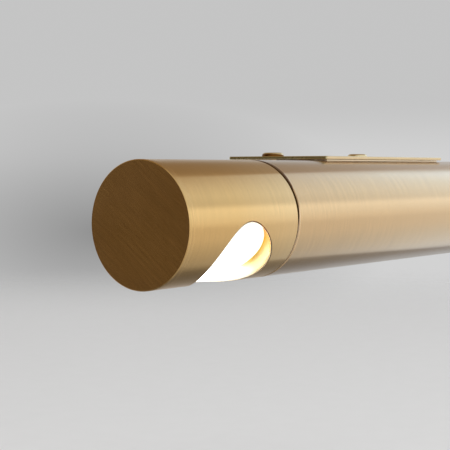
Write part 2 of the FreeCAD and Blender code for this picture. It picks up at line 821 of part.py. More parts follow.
def make_shell(side):
    """Round shell of an end section with the light's hole in its side."""
    name = "end_shell_" + side
    length = "head_length - disc_thickness"
    walls = turned(name, [
        ("0", "shell_bore"),
        (length, "shell_bore"),
        (length, "tube_radius"),
        ("edge_break", "tube_radius"),
        ("0", "tube_radius - edge_break"),
    ], "H_Axis")
    hole = rod(name + "_hole", "hole_radius", "tube_radius + overrun", ("hole_place", "0", "0"))
    shell = cut(name, walls, hole, *grub_tools(name, GRUB_SPOTS))
    bind(shell, Placement=END_PLACES[side])
    finish(shell, name)

    name = "end_disc_" + side
    disc = turned(name, [
        (length + " - spigot_length", "0"),
        ("head_length", "0"),
        ("head_length", "tube_radius - edge_break"),
        ("head_length - edge_break", "tube_radius"),
        (length, "tube_radius"),
        (length, "inner_radius"),
        (length + " - spigot_length", "inner_radius"),
    ], "H_Axis")
    bind(disc, Placement=END_PLACES[side])
    finish(disc, name)


def make_hub(side):
    """Hub that turns on the pivot, with its stop pin and the section's set screws."""
    end = END_PLACES[side]
    name = "end_hub_" + side
    blank = ring(name, "nipple_hole", "inner_radius", "0", "hub_thickness")
    pin_place = ("-overrun", "0", "-stop_circle")
    pin_hole = rod(name + "_pin_hole", "stop_radius + thread_gap", "hub_thickness + 2 * overrun", pin_place, ALONG_X)
    hub = cut(name, blank, pin_hole, *grub_tools(name, ["hub_low", "hub_high"]))
    bind(hub, Placement=end)
    finish(hub, name)

    name = "stop_pin_" + side
    start = "-seam_gap - stop_reach"
    pin = rod(name, "stop_radius", "hub_thickness + seam_gap + stop_reach", MIDDLE)
    bind(pin, Placement=end + " * " + spot((start, "0", "-stop_circle"), ALONG_X))
    finish(pin, name)

    name = "set_screws_" + side
    screws = []
    for key, (place, angle) in GRUB_SPOTS.items():
        blank = rod(name + "_" + key, "grub_radius", "grub_length", MIDDLE)
        floor = ("0", "0", "grub_length - grub_key")
        socket = hexagon(name + "_socket_" + key, "grub_key", "grub_key", floor)
        screw = cut(name + "_" + key, blank, socket)
        bind(screw, Placement=grub_spot(place, angle))
        screws.append(screw)
    screws = group(name, screws)
    bind(screws, Placement=end)
    finish(screws, name)


def make_light_well(side):
    """Brass ring that lines the hole behind the shell, and the opal lens on its ledge."""
    end = END_PLACES[side]
    name = "light_well_" + side
    height = "tube_radius - sink_height"
    outside = rod(name + "_outside", "well_radius", height, ("hole_place", "0", "sink_height"))
    bore = rod(name + "_bore", "hole_radius", "tube_radius", ("hole_place", "0", "lens_base"))
    throat = rod(name + "_throat", "ledge_radius", "tube_radius", ("hole_place", "0", "0"))
    limit = rod(name + "_limit", "inner_radius", "head_length", MIDDLE, ALONG_X)
    well = cut(name, common(name, outside, limit), bore, throat)
    bind(well, Placement=end)
    finish(well, name)

    name = "lens_" + side
    edge = rod(name + "_edge", "hole_radius - free_gap", "lens_curve", ("hole_place", "0", "lens_base"))
    crown = rod(name + "_crown", "lens_curve", "head_length", ("0", "0", "lens_crown - lens_curve"), ALONG_X)
    lens = common(name, edge, crown)
    bind(lens, Placement=end)
    finish(lens, name)


def make_light_source(side):
    """Heat sink, light board, chip, reflector and the board's screws."""
    end = END_PLACES[side]
    name = "heat_sink_" + side
    length = "2 * well_radius"
    round_bar = rod(name + "_round", "inner_radius", length, ("sink_start", "0", "0"), ALONG_X)
    size = (length, "2 * tube_radius", "tube_radius + sink_height")
    slab = box(name + "_slab", size, ("sink_start", "-tube_radius", "-tube_radius"))
    tools = grub_tools(name, ["sink"])
    start = ("sink_start", "0", "0")
    tools.append(rod(name + "_lead_hole", "lead_radius + free_gap", "lead_reach + free_gap", start, ALONG_X))
    slot_shares = {"first": "-1.5", "second": "-0.5", "third": "0.5", "fourth": "1.5"}
    for key, share in slot_shares.items():
        corner = ("hole_place + fin_pitch * " + share + " - fin_slot_width / 2", "-tube_radius", "-tube_radius")
        size = ("fin_slot_width", "2 * tube_radius", "fin_slot_depth")
        tools.append(box(name + "_slot_" + key, size, corner))
    for key, sign in (("in", "-"), ("out", "+")):
        place = ("hole_place " + sign + " board_screw_circle", "0", "board_top - board_screw_length")
        tools.append(rod(name + "_tap_" + key, "board_screw_radius + thread_gap", "tube_radius", place))
    sink = cut(name, common(name, round_bar, slab), *tools)
    bind(sink, Placement=end)
    finish(sink, name)

    name = "led_board_" + side
    blank = rod(name + "_blank", "board_radius", "board_thickness", ("hole_place", "0", "sink_height"))
    tools = []
    for key, sign in (("in", "-"), ("out", "+")):
        place = ("hole_place " + sign + " board_screw_circle", "0", "0")
        tools.append(rod(name + "_hole_" + key, "board_screw_radius + fit_gap", "tube_radius", place))
    board = cut(name, blank, *tools)
    bind(board, Placement=end)
    finish(board, name)

    name = "led_chip_" + side
    chip = rod(name, "chip_radius", "chip_height", MIDDLE)
    bind(chip, Placement=end + " * " + spot(("hole_place", "0", "board_top")))
    finish(chip, name)

    name = "board_screws_" + side
    screws = []
    for key, sign in (("in", "-"), ("out", "+")):
        screw = turned(name + "_" + key, [
            ("0", "-board_screw_length"),
            ("board_screw_radius", "-board_screw_length"),
            ("board_screw_radius", "0"),
            ("board_head_radius", "0"),
            ("board_head_radius", "board_head_height"),
            ("0", "board_head_height"),
        ])
        screws.append(put(screw, ("hole_place " + sign + " board_screw_circle", "0", "board_top")))
    screws = group(name, screws)
    bind(screws, Placement=end)
    finish(screws, name)

    name = "reflector_" + side
    rim = "ledge_radius - free_gap"
    top = "lens_base - free_gap"
    cone_ring = turned(name, [
        ("reflector_mouth", "board_top"),
        ("reflector_mouth + reflector_wall", "board_top"),
        (rim, top + " - reflector_wall"),
        (rim, top),
        (rim + " - reflector_wall / 2", top),
    ])
    bind(cone_ring, Placement=end + " * " + spot(("hole_place", "0", "0")))
    finish(cone_ring, name)


def check_document():
    """Stops if any object failed or any sub-part has no valid solid."""
    for item in document.Objects:
        if "Invalid" in item.State or "Error" in item.State:
            raise RuntimeError(item.Label + " failed: " + ", ".join(item.State))
    for piece in nodes:
        if piece.Shape.isNull() or not piece.Shape.isValid() or not piece.Shape.Solids:
            raise RuntimeError(piece.Label + " has no valid solid")


def export_nodes():
    """Writes each sub-part to its own file."""
    os.makedirs("parts", exist_ok=True)
    for piece in nodes:
        piece.Shape.exportStep("parts/" + piece.Label + ".step")
        print(piece.Label, len(piece.Shape.Solids), round(piece.Shape.Volume, 1))


make_sheet()
make_main_tube()
make_top_plate()
make_plate_screws()
make_tube_screws()
make_saddle_bar()
make_driver()
make_wall_bracket()
make_clinch_nuts()
make_back_cover()
make_rear_nipple()
make_terminal_block()
make_earth_screw()
make_cable_grommet()
make_supply_lead()
for end_side in END_PLACES:
    make_pivot(end_side)
    make_shell(end_side)
    make_hub(end_side)
    make_light_well(end_side)
    make_light_source(end_side)
document.recompute()
check_document()
export_nodes()
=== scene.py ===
import json
import math
import bmesh
import bpy
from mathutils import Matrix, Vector


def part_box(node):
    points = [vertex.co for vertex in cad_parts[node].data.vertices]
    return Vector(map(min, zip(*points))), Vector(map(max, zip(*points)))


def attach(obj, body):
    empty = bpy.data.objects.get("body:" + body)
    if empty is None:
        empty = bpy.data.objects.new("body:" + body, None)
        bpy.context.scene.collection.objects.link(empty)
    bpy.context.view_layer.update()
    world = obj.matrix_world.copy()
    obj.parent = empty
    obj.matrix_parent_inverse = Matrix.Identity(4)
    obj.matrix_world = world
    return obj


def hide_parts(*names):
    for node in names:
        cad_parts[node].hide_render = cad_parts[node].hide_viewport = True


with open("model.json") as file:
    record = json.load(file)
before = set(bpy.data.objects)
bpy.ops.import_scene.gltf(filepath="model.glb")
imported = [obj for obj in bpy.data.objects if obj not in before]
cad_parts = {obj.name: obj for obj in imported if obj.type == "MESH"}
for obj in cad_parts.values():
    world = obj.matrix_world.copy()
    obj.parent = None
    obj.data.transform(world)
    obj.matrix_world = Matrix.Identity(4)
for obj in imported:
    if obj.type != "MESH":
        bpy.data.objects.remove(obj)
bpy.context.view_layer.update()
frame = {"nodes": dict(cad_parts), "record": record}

# A brushed brass tube light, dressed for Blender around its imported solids. Lengths are in metres.
MM = 0.001
SIDES = {"left": -1, "right": 1}


# Measures of the light, from the frame
def middle_of(node):
    """Gives the middle of a node's box."""
    low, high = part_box(node)
    return (Vector(low) + Vector(high)) / 2


def size_of(node):
    """Gives the three sizes of a node's box."""
    low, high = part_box(node)
    return Vector(high) - Vector(low)


TUBE_MIDDLE = middle_of("main_tube")
TUBE_RADIUS = size_of("main_tube").z / 2
HALF_MAIN = size_of("main_tube").x / 2
HALF_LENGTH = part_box("end_disc_right")[1][0]
LENS_PLACE = middle_of("lens_right").x
LENS_RADIUS = size_of("lens_right").x / 2
SCREWS_LOW, SCREWS_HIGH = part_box("plate_screws")

# The way that the light is thrown, and the way across it that points up
LIGHT_ANGLE = math.radians(49)
ALONG_LIGHT = Vector((0, -math.cos(LIGHT_ANGLE), -math.sin(LIGHT_ANGLE)))
ACROSS_LIGHT = Vector((0, -math.sin(LIGHT_ANGLE), math.cos(LIGHT_ANGLE)))

# The photograph's camera, worked out from the round end face, the seam, the tube's edges and the plate
PHOTO_WIDTH = 450
FOCAL_PIXELS = 1150.2
SENSOR = 36.0
CAMERA_YAW = math.radians(52.29)
CAMERA_PITCH = math.radians(-2.85)
CAMERA_OFFSET = Vector((-12.892, -11.607, 0.868)) * TUBE_RADIUS
NEAREST_SEEN = 0.01
FARTHEST_SEEN = 100


def add_camera():
    """Puts the camera where the photograph was taken from."""
    level = math.cos(CAMERA_PITCH)
    sight = Vector((math.sin(CAMERA_YAW) * level, math.cos(CAMERA_YAW) * level, math.sin(CAMERA_PITCH)))
    data = bpy.data.cameras.new("camera")
    data.sensor_width = SENSOR
    data.lens = FOCAL_PIXELS / PHOTO_WIDTH * SENSOR
    data.clip_start = NEAREST_SEEN
    data.clip_end = FARTHEST_SEEN
    camera = bpy.data.objects.new("camera", data)
    camera.location = Vector((-HALF_LENGTH, TUBE_MIDDLE.y, 0)) + CAMERA_OFFSET
    camera.rotation_mode = "QUATERNION"
    camera.rotation_quaternion = sight.to_track_quat("-Z", "Y")
    bpy.context.scene.collection.objects.link(camera)
    bpy.context.scene.camera = camera


# How much detail a noise has
PLAIN_DETAIL = 2.0
FINE_DETAIL = 3.0
FINEST_DETAIL = 4.0


class Shading:
    """Adds shader nodes to one tree and joins them."""

    def __init__(self, tree):
        self.tree = tree

    def feed(self, node, values):
        """Links each named or numbered socket to another node's output, or sets its own value."""
        for key, value in values.items():
            if isinstance(value, bpy.types.NodeSocket):
                self.tree.links.new(value, node.inputs[key])
            else:
                node.inputs[key].default_value = value

    def add(self, kind, inputs=None, **settings):
        """Adds a node, sets it up and feeds its inputs."""
        node = self.tree.nodes.new("ShaderNode" + kind)
        for name, value in settings.items():
            setattr(node, name, value)
        self.feed(node, inputs or {})
        return node

    def sum(self, operation, *values):
        """Does one step of arithmetic."""
        return self.add("Math", dict(enumerate(values)), operation=operation).outputs[0]

    def vector_sum(self, operation, *values):
        """Does one step of vector arithmetic that gives a vector."""
        return self.add("VectorMath", dict(enumerate(values)), operation=operation).outputs[0]

    def dot(self, first, second):
        """Gives the product of two vectors as a number."""
        return self.add("VectorMath", {0: first, 1: second}, operation="DOT_PRODUCT").outputs["Value"]

    def length(self, vector):
        """Gives a vector's length."""
        return self.add("VectorMath", {0: vector}, operation="LENGTH").outputs["Value"]

    def split(self, vector):
        """Gives a vector's three numbers."""
        node = self.add("SeparateXYZ", {0: vector})
        return node.outputs["X"], node.outputs["Y"], node.outputs["Z"]

    def join(self, first, second, third):
        """Gives the vector that three numbers make."""
        return self.add("CombineXYZ", {0: first, 1: second, 2: third}).outputs[0]

    # The mix node gives its sockets for numbers, vectors and colours the same names, so they go by number
    def mix(self, share, first, second):
        """Blends two colours."""
        return self.add("Mix", {0: share, 6: first, 7: second}, data_type="RGBA").outputs[2]

    def vector_mix(self, share, first, second):
        """Blends two vectors."""
        return self.add("Mix", {0: share, 4: first, 5: second}, data_type="VECTOR").outputs[1]

    def spread(self, value, low, high, to_low=0.0, to_high=1.0, kind="LINEAR"):
        """Carries a number from one range to another, held at its ends."""
        inputs = {"Value": value, "From Min": low, "From Max": high, "To Min": to_low, "To Max": to_high}
        return self.add("MapRange", inputs, interpolation_type=kind).outputs["Result"]

    def noise(self, vector, per_metre, detail=PLAIN_DETAIL):
        """Gives cloudy values between nought and one, with so many clouds per metre."""
        return self.add("TexNoise", {"Vector": vector, "Scale": per_metre, "Detail": detail}).outputs[0]

    def marks(self, vector, per_metre, detail=PLAIN_DETAIL):
        """Gives the same with its own number of clouds per metre in each direction."""
        return self.noise(self.vector_sum("MULTIPLY", vector, per_metre), 1.0, detail)

    def ramp(self, value, stops):
        """Looks a number up on a ramp of colours."""
        node = self.add("ValToRGB", {"Fac": value})
        elements = node.color_ramp.elements
        while len(elements) < len(stops):
            elements.new(0.5)
        for element, (place, tint) in zip(elements, stops):
            element.position = place
            element.color = tint
        return node.outputs["Color"]

    def bump(self, strength, distance, height, rounded=None):
        """Gives a normal raised by a height, over the surface's own normal or a rounded one."""
        inputs = {"Strength": strength, "Distance": distance, "Height": height}
        if rounded is not None:
            inputs["Normal"] = rounded
        return self.add("Bump", inputs).outputs[0]

    def place(self):
        """Gives the point's place in the frame at rest."""
        return self.add("TexCoord").outputs["Object"]

    def from_tube(self):
        """Gives the point's place as seen from the tube's middle."""
        return self.vector_sum("SUBTRACT", self.place(), tuple(TUBE_MIDDLE))

    def under_skin(self):
        """Gives how deep the point lies under the tube's skin."""
        _, outward, height = self.split(self.from_tube())
        return self.sum("SUBTRACT", TUBE_RADIUS, self.length(self.join(0.0, outward, height)))

    def facing(self):
        """Gives the three numbers of the way that the surface faces."""
        return self.split(self.add("NewGeometry").outputs["True Normal"])


def colour(red, green, blue):
    """Gives a linear colour with full cover."""
    return (red, green, blue, 1)


def scaled(values, factor):
    """Gives a colour made darker or lighter."""
    return colour(*(value * factor for value in values[:3]))


def new_material(name):
    """Starts a material and gives it with its shading and its shader node."""
    material = bpy.data.materials.new(name)
    material.use_nodes = True
    shading = Shading(material.node_tree)
    return material, shading, material.node_tree.nodes["Principled BSDF"]


def opened(material):
    """Gives the shading, the shader node and the present skin of a material, to paint over it."""
    shader = material.node_tree.nodes["Principled BSDF"]
    return Shading(material.node_tree), shader, shader.inputs["Base Color"].links[0].from_socket


# Brass tints
END_BRASS = colour(0.80, 0.500, 0.195)
TUBE_BRASS = colour(0.74, 0.468, 0.200)
SEAM_TINT = colour(1.04, 1.12, 1.36)
PLATE_BRASS = colour(0.77, 0.565, 0.315)
PLATE_OLIVE = colour(0.62, 0.56, 0.29)
# Painted light: the strip's paler brass and the pale colour under the plate lighten the shade there
STRIP_LIGHTENED_BRASS = colour(0.84, 0.660, 0.440)
PAINTED_LIGHT_PALE = colour(0.80, 0.70, 0.55)
SCREW_BRASS = colour(0.92, 0.720, 0.400)
# Painted dark reflection on the lower sides of the plate screws' heads
SCREW_DARK_REFLECTION = colour(0.17, 0.065, 0.010)
WELL_BRASS = colour(0.91, 0.710, 0.400)
# Painted shade and light in the light wells: deeper at the lens and above, paler low down and on the lip
WELL_SHADE_ORANGE = colour(0.85, 0.400, 0.050)
CREASE_SHADE_BRASS = colour(0.88, 0.670, 0.110)
WELL_LIT_PALE = colour(0.97, 0.93, 0.86)
LIP_PAINTED_PALE = colour(0.97, 0.85, 0.62)
# The gap's painted shade, on its walls and on the parts inside it, and the painted light on its lower rims
GAP_SHADE_BROWN = colour(0.09, 0.040, 0.010)
GAP_LIT_PALE = colour(0.80, 0.58, 0.36)
# The lens's painted shade on its upper rim
LENS_RIM_SHADE = colour(0.55, 0.40, 0.05)

# Other tints
WHITE = colour(1, 1, 1)
BLACK = colour(0, 0, 0)
RIM_GLOW = colour(1.0, 0.70, 0.14)
CORE_GLOW = colour(1.0, 0.95, 0.86)
OPAL_TINTS = (colour(0.90, 0.89, 0.86), colour(0.94, 0.93, 0.90))
PHOSPHOR_TINTS = (colour(0.90, 0.66, 0.12), colour(0.96, 0.80, 0.26))
ALUMINIUM = colour(0.74, 0.75, 0.76)
ZINC_TINTS = (colour(0.50, 0.52, 0.55), colour(0.63, 0.64, 0.66))
ZINC_TARNISH = colour(0.58, 0.55, 0.44)
ZINC_EDGE = colour(0.78, 0.79, 0.80)
FLOOR_TINTS = (colour(0.77, 0.765, 0.76), colour(0.80, 0.795, 0.79))

# The part of a pattern's values that is spread over a finish's whole range
WIDE_NOISE = (0.25, 0.75)
MOST_NOISE = (0.3, 0.7)
MIDDLE_NOISE = (0.35, 0.65)
SPANGLE_NOISE = (0.2, 0.8)
DOT_NOISE = (0.1, 0.5)

# How far a surface faces along the tube or down, where that starts to count and where it counts in full
FACING_ALONG = (0.5, 0.85)
FACING_DOWN = (-0.5, -0.9)

# The rounding that light finds on every edge, and how well it agrees with the flat, off an edge and on it
EDGE_ROUNDING = 0.1 * MM
EDGE_SAMPLES = 6
EDGE_AGREEMENT = (1.0, 0.9)


def facing_ends(shading):
    """Gives a share that is one on surfaces square to the tube's axis."""
    return shading.spread(shading.sum("ABSOLUTE", shading.facing()[0]), *FACING_ALONG)


def worn_edges(shading):
    """Gives a normal that is rounded at edges, and a share that is one on them."""
    rounded = shading.add("Bevel", {"Radius": EDGE_ROUNDING}, samples=EDGE_SAMPLES).outputs[0]
    flat = shading.add("NewGeometry").outputs["Normal"]
    return rounded, shading.spread(shading.dot(rounded, flat), *EDGE_AGREEMENT)


# Grain: each gives a vector whose first number runs quickly across the brush marks
def round_grain(shading):
    """Brush marks that run round the tube."""
    along, outward, height = shading.split(shading.from_tube())
    angle = shading.sum("ARCTAN2", height, outward)
    return shading.join(along, shading.sum("MULTIPLY", angle, TUBE_RADIUS), 0.0)


def straight_grain(across, along):
    """Brush marks that run straight, given the directions across and along them."""
    def grain(shading):
        place = shading.place()
        return shading.join(shading.dot(place, tuple(across)), shading.dot(place, tuple(along)), 0.0)
    return grain


DISC_GRAIN_ANGLE = math.radians(38)
DISC_ALONG = Vector((0, math.cos(DISC_GRAIN_ANGLE), math.sin(DISC_GRAIN_ANGLE)))
DISC_ACROSS = Vector((0, -math.sin(DISC_GRAIN_ANGLE), math.cos(DISC_GRAIN_ANGLE)))
along_tube = straight_grain((0, 1, 1), (1, 0, 0))
up_and_down = straight_grain((1, 0, 0), (0, 0, 1))


def disc_grain(shading):
    """Straight brush marks on a disc's face, and marks round the tube on its rim."""
    straight = straight_grain(DISC_ACROSS, DISC_ALONG)(shading)
    return shading.vector_mix(facing_ends(shading), round_grain(shading), straight)


# The gap's painted shade and light, by height from the tube's axis. Above, painted shade: a dark band on
# the longer tube's skin widens upwards. Further down, painted light: a pale band grows inwards from the
# skin on the gap's walls, so that the dark line thins, and low down painted shade turns that band dark
# again. A width below nought shows nothing.
GAP_REACH = (2.5 * MM, 3.0 * MM)
SPILL_HEIGHTS = (11 * MM, 24 * MM)
SPILL_WIDTH = 1.8 * MM
PALE_HEIGHTS = (7 * MM, -2 * MM)
PALE_WIDTH = 0.97 * MM
SHADED_HEIGHTS = (-10 * MM, -22 * MM)
SHADED_SHARE = 0.55
NO_WIDTH = -0.1 * MM
PAINT_EDGE = (-0.05 * MM, 0.05 * MM)


def gap_shade_and_light(shading):
    """Gives a share that is one where the gap's painted shade and light lie, and their colour."""
    along, _, height = shading.split(shading.from_tube())
    from_end = shading.sum("SUBTRACT", HALF_MAIN, shading.sum("ABSOLUTE", along))
    near = shading.spread(shading.sum("ABSOLUTE", from_end), *GAP_REACH, 1.0, 0.0)
    walls = shading.sum("MULTIPLY", facing_ends(shading), near)
    spill = shading.spread(height, *SPILL_HEIGHTS, NO_WIDTH, SPILL_WIDTH)
    spill = shading.spread(shading.sum("SUBTRACT", spill, from_end), *PAINT_EDGE)
    spill = shading.sum("MULTIPLY", spill, shading.sum("GREATER_THAN", from_end, NO_WIDTH))
    pale = shading.spread(height, *PALE_HEIGHTS, NO_WIDTH, PALE_WIDTH)
    pale = shading.spread(shading.sum("SUBTRACT", pale, shading.under_skin()), *PAINT_EDGE)
    shaded = shading.spread(height, *SHADED_HEIGHTS, 0.0, SHADED_SHARE)
    pale_tint = shading.mix(shaded, GAP_LIT_PALE, GAP_SHADE_BROWN)
    return shading.sum("MAXIMUM", walls, spill), shading.mix(pale, GAP_SHADE_BROWN, pale_tint)


# Brush marks per metre, across and along them, and what marks and clouds do to a metal's tone and roughness
HAIR_MARKS = (5200, 130, 1)
STREAK_MARKS = (900, 40, 1)
CLOUDS_PER_METRE = 28
HAIR_TONE = (0.0, 0.5)
STREAK_TONE = (0.1, 0.55)
CLOUD_TONE = (-0.1, 0.15)
DARKER_BY = 0.04
PALER_BY = 0.035
BRUSHED_EDGE = 1.08
SMOOTHER_BY = 0.02
ROUGHER_BY = 0.03
CLOUD_ROUGHNESS = (-0.015, 0.02)
HAIR_STRENGTH = 0.25
HAIR_BUMP = 0.012 * MM
COAT_ROUGHNESS = 0.22
# How metallic the surface stays under the gap's painted shade and light
GAP_SHADE_METALLIC = 0.2

# Brass that is brushed round the tube: how far its highlights stretch across the marks, and the turn that
# lays them that way
TUBE_ROUGHNESS = 0.17
ROUND_STRETCH = 0.85
QUARTER_TURN = 0.25


def brushed_metal(name, base, grain, roughness, depth=1.0, contrast=1.0, coat=0.0, by_gap=False):
    """Brushed metal with hair lines, streaks, faint clouds and brighter edges, and by the gap its painted
    shade and light.
    """
    material, shading, shader = new_material(name)
    hair = shading.marks(grain(shading), HAIR_MARKS, FINE_DETAIL)
    streak = shading.marks(grain(shading), STREAK_MARKS)
    cloud = shading.noise(shading.place(), CLOUDS_PER_METRE, FINE_DETAIL)
    rounded, edge = worn_edges(shading)
    tone = shading.spread(streak, *MIDDLE_NOISE, *STREAK_TONE)
    tone = shading.sum("ADD", tone, shading.spread(hair, *MOST_NOISE, *HAIR_TONE))
    tone = shading.sum("ADD", tone, shading.spread(cloud, *MOST_NOISE, *CLOUD_TONE))
    skin = shading.mix(tone, scaled(base, 1 - DARKER_BY * contrast), scaled(base, 1 + PALER_BY * contrast))
    skin = shading.mix(edge, skin, scaled(base, BRUSHED_EDGE))
    hair_roughness = (roughness - SMOOTHER_BY * depth, roughness + ROUGHER_BY * depth)
    rough = shading.spread(hair, *WIDE_NOISE, *hair_roughness)
    rough = shading.sum("ADD", rough, shading.spread(cloud, *MOST_NOISE, *CLOUD_ROUGHNESS))
    metallic = 1.0
    # By the gap: its painted shade and light, with less metal and no lacquer there
    if by_gap:
        painted, paint = gap_shade_and_light(shading)
        skin = shading.mix(painted, skin, paint)
        metallic = shading.spread(painted, 0.0, 1.0, 1.0, GAP_SHADE_METALLIC)
        if coat:
            coat = shading.spread(painted, 0.0, 1.0, coat, 0.0)
    shading.feed(shader, {
        "Base Color": skin,
        "Metallic": metallic,
        "Roughness": rough,
        "Normal": shading.bump(HAIR_STRENGTH * depth, HAIR_BUMP, hair, rounded),
        "Coat Weight": coat,
        "Coat Roughness": COAT_ROUGHNESS,
    })
    return material


def round_metal(name, base, grain, roughness, **finish):
    """Brushed metal whose highlights stretch across marks that run round the tube."""
    material = brushed_metal(name, base, grain, roughness, **finish)
    shading, shader, _ = opened(material)
    tangent = shading.add("Tangent", direction_type="RADIAL", axis="X").outputs[0]
    stretch = {"Tangent": tangent, "Anisotropic": ROUND_STRETCH, "Anisotropic Rotation": QUARTER_TURN}
    shading.feed(shader, stretch)
    return material


# Where an end section starts to turn paler towards the gap, and where it is palest
SEAM_FADE = (150 * MM, 112 * MM)


def tube_brass():
    """Brass of the longer tube, brushed round it, under a lacquer that makes it look paler."""
    return round_metal("tube_brass", TUBE_BRASS, round_grain, TUBE_ROUGHNESS,
                       contrast=2.0, coat=1.0, by_gap=True)


def end_shell_brass():
    """Brass of an end section, brushed round the tube and a little paler towards the gap."""
    material = round_metal("end_shell_brass", END_BRASS, round_grain, TUBE_ROUGHNESS,
                           contrast=1.4, by_gap=True)
    shading, shader, skin = opened(material)
    along = shading.sum("ABSOLUTE", shading.split(shading.place())[0])
    tint = shading.mix(shading.spread(along, *SEAM_FADE), WHITE, SEAM_TINT)
    shading.feed(shader, {"Base Color": shading.vector_sum("MULTIPLY", skin, tint)})
    return material


def disc_brass():
    """Brass of an end disc, whose rim carries on from the shell beside it."""
    material = round_metal("disc_brass", END_BRASS, disc_grain, roughness=0.23, contrast=3.0)
    shading, shader, _ = opened(material)
    rim = shading.sum("SUBTRACT", 1.0, facing_ends(shading))
    shading.feed(shader, {"Anisotropic": shading.sum("MULTIPLY", rim, ROUND_STRETCH)})
    return material


def gap_shade_metal():
    """Near-black brushed metal on the parts that show inside the gap round the tube, painted dark as the
    gap's shade.
    """
    return brushed_metal("gap_shade_metal", GAP_SHADE_BROWN, round_grain, roughness=0.45)


def with_painted_light(material, share, skin):
    """Lays a pale, non-metal colour over a material's skin where a share is one, as painted light on shade.
    """
    shading, shader, _ = opened(material)
    shading.feed(shader, {
        "Base Color": shading.mix(share, skin, PAINTED_LIGHT_PALE),
        "Metallic": shading.spread(share, 0.0, 1.0, 1.0, 0.0),
    })
    return material


def plate_brass():
    """Brass of the plate, with olive ends and a pale underside where it lies on the tube, painted light on
    the shade there.
    """
    material = brushed_metal("plate_brass", PLATE_BRASS, along_tube, roughness=0.26,
                             depth=0.6, contrast=2.0)
    shading, _, skin = opened(material)
    under = shading.spread(shading.facing()[2], *FACING_DOWN)
    return with_painted_light(material, under, shading.mix(facing_ends(shading), skin, PLATE_OLIVE))


def strip_brass():
    """Brass of the strip under the plate, paler than the plate and with pale cut ends, as painted light on
    the shade there.
    """
    material = brushed_metal("strip_brass", STRIP_LIGHTENED_BRASS, along_tube, roughness=0.30)
    shading, _, skin = opened(material)
    return with_painted_light(material, facing_ends(shading), skin)


# Smears and scratches of handling on polished metal
SMEARS_PER_METRE = 220
SMEAR_TONES = (0.95, 1.04)
SMEAR_ROUGHNESS = 0.07
SCRATCH_MARKS = (2400, 600, 2400)
SCRATCH_STRENGTH = 0.2
SCRATCH_BUMP = 0.004 * MM
POLISHED_EDGE = 1.12


def polished_metal(name, base, roughness):
    """Polished metal with faint handling marks and soft bright edges."""
    material, shading, shader = new_material(name)
    smear = shading.noise(shading.place(), SMEARS_PER_METRE, FINEST_DETAIL)
    scratch = shading.marks(shading.place(), SCRATCH_MARKS)
    rounded, edge = worn_edges(shading)
    skin = shading.mix(smear, *(scaled(base, factor) for factor in SMEAR_TONES))
    shading.feed(shader, {
        "Base Color": shading.mix(edge, skin, scaled(base, POLISHED_EDGE)),
        "Metallic": 1.0,
        "Roughness": shading.spread(smear, *MOST_NOISE, roughness, roughness + SMEAR_ROUGHNESS),
        "Normal": shading.bump(SCRATCH_STRENGTH, SCRATCH_BUMP, scratch, rounded),
    })
    return material


# The upper edge of the painted dark reflection on the plate screws, which rises between two places on the
# left one's head
AMBER_TOP = SCREWS_HIGH[2] - 0.8 * MM
AMBER_PLACES = (-35 * MM, -43 * MM)
AMBER_RISE = (-0.7 * MM, 0.2 * MM)
AMBER_FADE = (0.2 * MM, -0.2 * MM)


def screw_brass():
    """Polished brass of the plate screws, with a painted dark reflection low down, and higher up on the
    left screw's outer side.
    """
    material = polished_metal("screw_brass", SCREW_BRASS, roughness=0.12)
    shading, shader, skin = opened(material)
    along, _, height = shading.split(shading.place())
    edge = shading.sum("ADD", AMBER_TOP, shading.spread(along, *AMBER_PLACES, *AMBER_RISE))
    amber = shading.spread(shading.sum("SUBTRACT", height, edge), *AMBER_FADE)
    shading.feed(shader, {"Base Color": shading.mix(amber, skin, SCREW_DARK_REFLECTION)})
    return material


# Where the well's painted light and shade fade in: along the light, up across it, down across it, and under
# the tube's skin
FOOT_ALONG = (20.5 * MM, 18.0 * MM)
DEEP_ACROSS = (7.0 * MM, 14.0 * MM)
PALE_ACROSS = (-3.0 * MM, -9.0 * MM)
LIP_UNDER_SKIN = (0.3 * MM, 0.15 * MM)


def well_brass():
    """Satin brass of a light well, with painted shade at its foot and above, and painted light low down and
    on its lip.
    """
    material = brushed_metal("well_brass", WELL_BRASS, up_and_down, roughness=0.45, depth=0.6)
    shading, shader, skin = opened(material)
    along = shading.dot(shading.from_tube(), tuple(ALONG_LIGHT))
    across = shading.dot(shading.from_tube(), tuple(ACROSS_LIGHT))
    skin = shading.mix(shading.spread(along, *FOOT_ALONG), skin, CREASE_SHADE_BRASS)
    skin = shading.mix(shading.spread(across, *DEEP_ACROSS), skin, WELL_SHADE_ORANGE)
    skin = shading.mix(shading.spread(across, *PALE_ACROSS), skin, WELL_LIT_PALE)
    skin = shading.mix(shading.spread(shading.under_skin(), *LIP_UNDER_SKIN), skin, LIP_PAINTED_PALE)
    shading.feed(shader, {"Base Color": skin})
    return material


# The lens's glow, by its reach from the middle and by its place across the light, with painted shade on its
# upper rim: dimmer, warmer and brass-toned there
RIM_REACH = (19.3 * MM, 18.5 * MM)
RIM_ACROSS = (1.5 * MM, -4.0 * MM)
RIM_LEVELS = (0.2, 1.2)
CORE_REACH = (18.6 * MM, 9.0 * MM)
CORE_LEVEL = 0.4
LOW_ACROSS = (-6.0 * MM, -13.0 * MM)
LOW_LEVEL = 3.5
OPAL_GRAINS = 900
OPAL_LEVELS = (-0.04, 0.04)
OPAL_ROUGHNESS = (0.28, 0.36)
OPAL_STRENGTH = 0.2
OPAL_BUMP = 0.01 * MM


